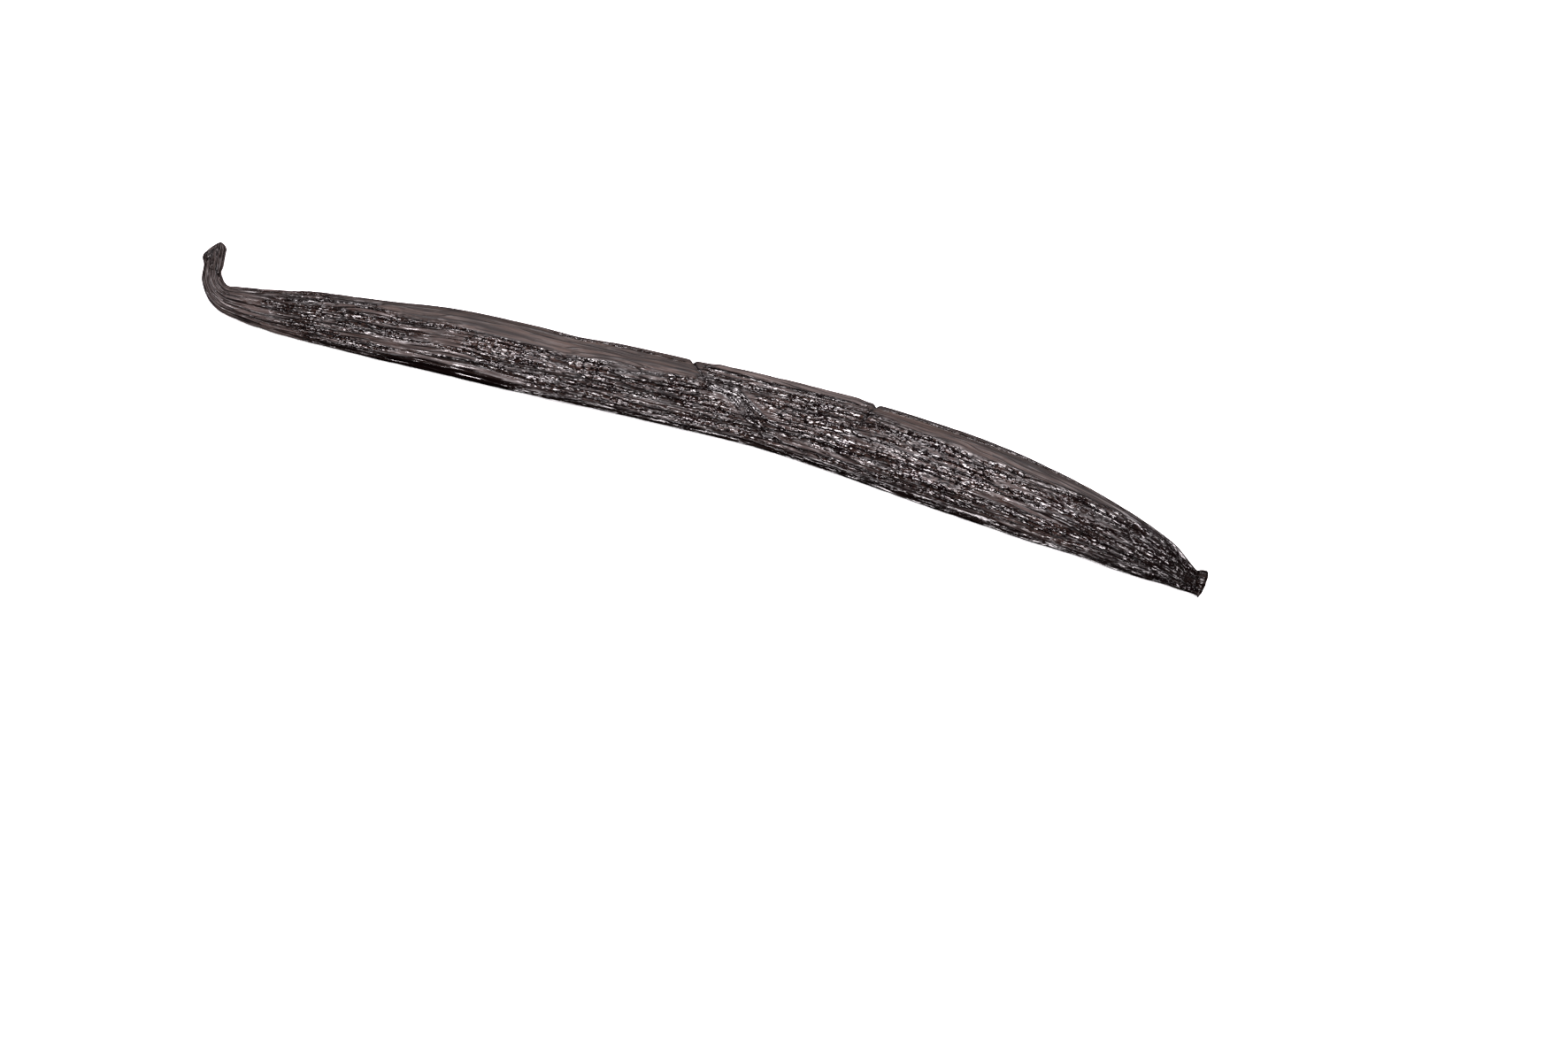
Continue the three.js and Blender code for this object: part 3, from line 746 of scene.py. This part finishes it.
def cured_vanilla_skin():
    """Cured vanilla skin, sweated and sun dried: nearly black brown, oily where it is wrinkled, so that small wet
    glints break up along the ridges, and duller and greyer where it is drawn taut."""
    material = new_material("cured_vanilla_skin")
    add = partial(add_node, material)
    unrolled = add("ShaderNodeAttribute", {"attribute_name": "unrolled"}).outputs["Vector"]
    noise_here = partial(drawn_out_noise, material, unrolled)
    taut, crinkled, hollow, dark, dried, cracked, beside_crack = [
        add("ShaderNodeAttribute", {"attribute_name": name}).outputs["Fac"] for name in SkinValues._fields
    ]
    on_flank = add(SPREAD, {}, dark, 0.85, 1, 1, 0.2)
    loose = add(MATHS, PRODUCT, add(SPREAD, {}, taut, 0, 1, 1, 0.35), on_flank)

    # Seams lie about 1.3 mm apart and come and go over 13 mm, and hairlines lie half as far apart. They are fainter
    # in the taut band and on the flank.
    seams = wandering_lines(material, unrolled, 21, 13, 0.2)
    hairlines = wandering_lines(material, unrolled, 43, 8, 0.12)
    crossed = add(MATHS, PRODUCT, add(MATHS, GREATER, seams, hairlines), add(SPREAD, {}, taut, 0, 1, 1, 0.5))
    seamed = add(MATHS, PRODUCT, crossed, on_flank)

    # Cracks in the folds are hair thin, and are drawn about 0.5 mm wide, so that they show.
    crack_away = add(MATHS, {"operation": "ABSOLUTE"}, beside_crack)
    cracks = add(MATHS, PRODUCT, add(SPREAD, {}, crack_away, 0.34, 0.12, 0, 1), cracked)

    # The skin is drawn into cords about 0.4 mm wide, with the gaps between them painted dark as shade.
    # Oil lies on them in patches, but not where the skin is dried, nor where rim light is painted on it.
    cord_wave = noise_here(3.2, 0.27, Detail=2.0, Roughness=0.5, Distortion=0.3)
    cords = add(MATHS, PRODUCT, add(SPREAD, {}, cord_wave, 0.3, 0.7, 0, 1), loose)
    gap_shade = add(MATHS, PRODUCT, add(SPREAD, SMOOTH, cord_wave, 0.45, 0.33, 0, 0.7), loose)
    oil_comes = add(SPREAD, {}, noise_here(6, 1.2, Detail=2.0), 0.36, 0.5, 0, 0.9)
    oil_lies = add(MATHS, PRODUCT, add(SPREAD, {}, cord_wave, 0.46, 0.54, 0, 1), oil_comes)
    oil_stays = add(MATHS, PRODUCT, loose, add(SPREAD, {}, dried, 0, 0.4, 1, 0))
    oil_pools = add(SPREAD, {}, noise_here(4, 0.7, Detail=1.0), 0.36, 0.5, 0.3, 0.97)
    oiled_crinkles = add(MATHS, PRODUCT, crinkled, oil_pools)
    oil = add(MATHS, GREATER, add(MATHS, PRODUCT, oil_lies, oil_stays), oiled_crinkles)

    # Where the skin is crinkled it breaks into cells about 0.7 mm long and 0.2 mm wide, whose crowns lean every way
    # and catch the light. The real ones are finer, and are drawn so coarse that they show.
    stray = noise_here(1.3, 0.5, Detail=1.0).outputs["Color"]
    strayed = add(VECTOR_MATHS, TIMES_PLUS, stray, (1.3, 0.45, 0.45), unrolled)
    laid = add("ShaderNodeMapping", {}, Vector=strayed, Scale=(1 / 0.68, 1 / 0.18, 1 / 0.18))
    cell = add("ShaderNodeTexVoronoi", {}, Vector=laid, Scale=1.0)
    from_crown = cell.outputs["Distance"]
    fallen = add(MATHS, {"operation": "POWER"}, from_crown, 4.0)
    beside = add(VECTOR_MATHS, DIFFERENCE, laid, cell.outputs["Position"])
    lean = add(VECTOR_MATHS, DIFFERENCE, cell.outputs["Color"], (0.5, 0.5, 0.5))
    tilt = add(VECTOR_MATHS, {"operation": "DOT_PRODUCT"}, beside, lean)
    facets = add(MATHS, PRODUCT, add(MATHS, DIFFERENCE, tilt, fallen), crinkled)
    # The cells' edges are painted dark, as shade between the cells.
    cell_edge_shade = add(MATHS, PRODUCT, add(SPREAD, SMOOTH, from_crown, 0.38, 0.68, 0, 1), crinkled)

    # Nicks in the taut skin are the crests of waves 2.6 mm long and 0.24 mm wide. The grain of the skin's own cells
    # is too fine to show, and is drawn 0.5 mm long and 0.1 mm wide.
    nicks = add(MATHS, PRODUCT, add(SPREAD, {}, noise_here(2.6, 0.24, Detail=0.0), 0.67, 0.72, 0, 1), taut)
    grain = noise_here(0.5, 0.1, Detail=1.0)

    # The colour: brown in blotches or, where the skin is taut, grey in streaks, with all that lies over them:
    # paler dried skin, painted rim light, black skin in the tail, and painted shade on the flank and in gaps,
    # cell edges, hollows, seams and cracks.
    blotches = noise_here(14, 3.0, Detail=3.0, Roughness=0.6)
    streaks = noise_here(18, 0.8, Detail=2.0, Roughness=0.6)
    hair_streaks = noise_here(7, 0.3, Detail=2.0, Roughness=0.6)
    brown = add(MIX, COLOURS, add(SPREAD, {}, blotches, 0.35, 0.65, 0, 1), srgb("#211815"), srgb("#362a26"))
    streaked = add(MATHS, {"operation": "ADD"}, streaks, add(MATHS, PRODUCT, hair_streaks, 0.6))
    grey = add(MIX, COLOURS, add(SPREAD, {}, streaked, 0.62, 0.98, 0, 1), srgb("#130e0c"), srgb("#3a2f2a"))
    # Dried skin is paler, and painted rim light makes the lip and the stalk's outer side paler.
    dulled = add(MIX, COLOURS, dried, add(MIX, COLOURS, taut, brown, grey), srgb("#5c5350"))
    # Painted shade blackens the flank, and the skin of the tail and the stalk's end is black.
    shaded = add(MIX, COLOURS, dark, dulled, srgb("#060303"))
    # Painted shade darkens the gaps between the cords.
    gap_shaded = add(MIX, COLOURS, gap_shade, shaded, srgb("#120a08"))
    # Painted shade darkens the cells' edges.
    crumpled = add(MIX, COLOURS, cell_edge_shade, gap_shaded, srgb("#080505"))
    nicked = add(MIX, COLOURS, nicks, crumpled, srgb("#120b0a"))
    # Painted shade blackens the floors of furrows, wrinkles and cracks.
    hollow_shaded = add(MIX, COLOURS, hollow, nicked, srgb("#070404"))
    # Seams, hairlines and cracks are painted black, as shade in their grooves.
    line_shade = add(SPREAD, {}, add(MATHS, GREATER, seamed, cracks), 0, 0.5, 0, 1)
    colour = add(MIX, COLOURS, line_shade, hollow_shaded, srgb("#080404"))

    # Heights, in millimetres.
    crack_depth = add(MATHS, PRODUCT, cracks, -0.3)
    line_depth = add(MATHS, TIMES_PLUS, seamed, -0.16, crack_depth)
    cord_height = add(MATHS, TIMES_PLUS, cords, 0.04, line_depth)
    cell_height = add(MATHS, TIMES_PLUS, facets, 0.15, cord_height)
    height = add(MATHS, TIMES_PLUS, grain, 0.008, cell_height)
    bump = add("ShaderNodeBump", {}, Height=height, Strength=1.0, Distance=MM)

    # The gloss of oil, which also fills what is sunken: cracks, floors and the flank.
    sunken = add(MATHS, GREATER, add(MATHS, GREATER, cracks, hollow), dark)
    oiled_lines = add(MATHS, GREATER, oil, add(MATHS, PRODUCT, seamed, loose))
    gloss = add(MATHS, GREATER, oiled_lines, add(MATHS, PRODUCT, sunken, 0.95))
    roughness = add(SPREAD, {}, gloss, 0, 1, 0.85, 0.12)
    shader = add("ShaderNodeBsdfPrincipled", {}, Base_Color=colour, Roughness=roughness, Normal=bump, IOR=1.47)
    add("ShaderNodeOutputMaterial", {}, Surface=shader)
    return material


def lit_acrylic():
    """Opal acrylic of a light table, lit from below, so that shadows on it are faint."""
    material = new_material("lit_opal_acrylic")
    shader = add_node(
        material, "ShaderNodeBsdfPrincipled", {}, Base_Color=srgb("#f4f4f4"), Roughness=0.9,
        Emission_Color=srgb("#ffffff"), Emission_Strength=0.6,
    )
    add_node(material, "ShaderNodeOutputMaterial", {}, Surface=shader)
    return material


def black_card():
    """Matt black card, which spreads what little light it sends back."""
    material = new_material("matt_black_card")
    shader = add_node(material, "ShaderNodeBsdfPrincipled", {}, Base_Color=srgb("#0c0c0c"), Roughness=1.0)
    add_node(material, "ShaderNodeOutputMaterial", {}, Surface=shader)
    return material


# ---------------------------------------------------------------- studio, in metres

SHEET_SIZE = 6.0
CARD_DEPTH = 0.0001  # below the floor


def make_sheet(name, height, material):
    """A flat stage sheet, its middle under the pod."""
    shape = bmesh.new()
    bmesh.ops.create_grid(shape, x_segments=1, y_segments=1, size=SHEET_SIZE / 2)
    bmesh.ops.translate(shape, vec=(0, 0, height), verts=shape.verts)
    mesh = bpy.data.meshes.new(name)
    shape.to_mesh(mesh)
    shape.free()
    sheet = bpy.data.objects.new(name, mesh)
    bpy.context.scene.collection.objects.link(sheet)
    mesh.materials.append(material)
    return sheet


def make_floor():
    """Lit acrylic that only the camera sees, over a black card that the pod's skin mirrors, so that its flanks stay
    dark."""
    floor = make_sheet("floor", 0.0, lit_acrylic())
    floor.visible_glossy = floor.visible_diffuse = False
    black = make_sheet("black_card", -CARD_DEPTH, black_card())
    black.visible_camera = False


def looking(place, target, up):
    """The turned frame of a camera or lamp at a place, facing a target, with its top towards up."""
    backwards = (place - target).normalized()
    right = up.cross(backwards).normalized()
    turn = Matrix((right, backwards.cross(right), backwards)).transposed()
    return Matrix.Translation(place) @ turn.to_4x4()


def add_softbox(name, place, size, power, colour):
    """A softbox that faces the pod."""
    lamp = bpy.data.lights.new(name, "AREA")
    lamp.shape = "RECTANGLE"
    lamp.size, lamp.size_y = size
    lamp.energy = power
    lamp.color = colour
    holder = bpy.data.objects.new(name, lamp)
    holder.matrix_world = looking(Vector(place), Vector((0, 0, 0)), Vector((0, 1, 0.01)))
    bpy.context.scene.collection.objects.link(holder)


SLOPE = math.radians(17)  # how far the pod runs down to the right across the picture
PICTURE_WIDTH = 0.2304  # of floor that the picture shows
PICTURE_MIDDLE = (0.01588, -0.01284, 0.002)  # the place that the picture's middle shows
ELEVATION = math.radians(84)  # of the camera above the floor
LENS, SENSOR = 100.0, 36.0  # millimetres


def add_camera():
    data = bpy.data.cameras.new("camera")
    data.lens, data.sensor_width = LENS, SENSOR
    right = Vector((math.cos(SLOPE), math.sin(SLOPE), 0))
    level = Vector((0, 0, 1)).cross(right)
    back = Vector((0, 0, math.sin(ELEVATION))) - level * math.cos(ELEVATION)
    target = Vector(PICTURE_MIDDLE)
    distance = PICTURE_WIDTH * LENS / SENSOR
    camera = bpy.data.objects.new("camera", data)
    camera.matrix_world = looking(target + back * distance, target, level)
    bpy.context.scene.collection.objects.link(camera)
    bpy.context.scene.camera = camera


def light_studio():
    """A white backdrop that only the camera sees, a key softbox overhead and a strip behind, both faintly lilac."""
    world = bpy.data.worlds.new("studio")
    world.use_nodes = True
    background = world.node_tree.nodes["Background"]
    background.inputs["Color"].default_value = (1, 1, 1, 1)
    background.inputs["Strength"].default_value = 1.0
    world.cycles_visibility.diffuse = world.cycles_visibility.glossy = False
    bpy.context.scene.world = world
    add_softbox("key_softbox", place=(0.04, 0.08, 1.48), size=(0.7, 0.5), power=70, colour=(1, 0.92, 0.95))
    add_softbox("back_softbox", place=(0.1, 1.15, 1.0), size=(0.9, 0.25), power=12, colour=(1, 0.92, 0.96))
    bpy.context.scene.view_settings.view_transform = "Standard"


add_camera()
light_studio()
make_floor()
pod = make_pod()
pod.data.materials.append(cured_vanilla_skin())
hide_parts("vanilla_pod")
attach(pod, "root")
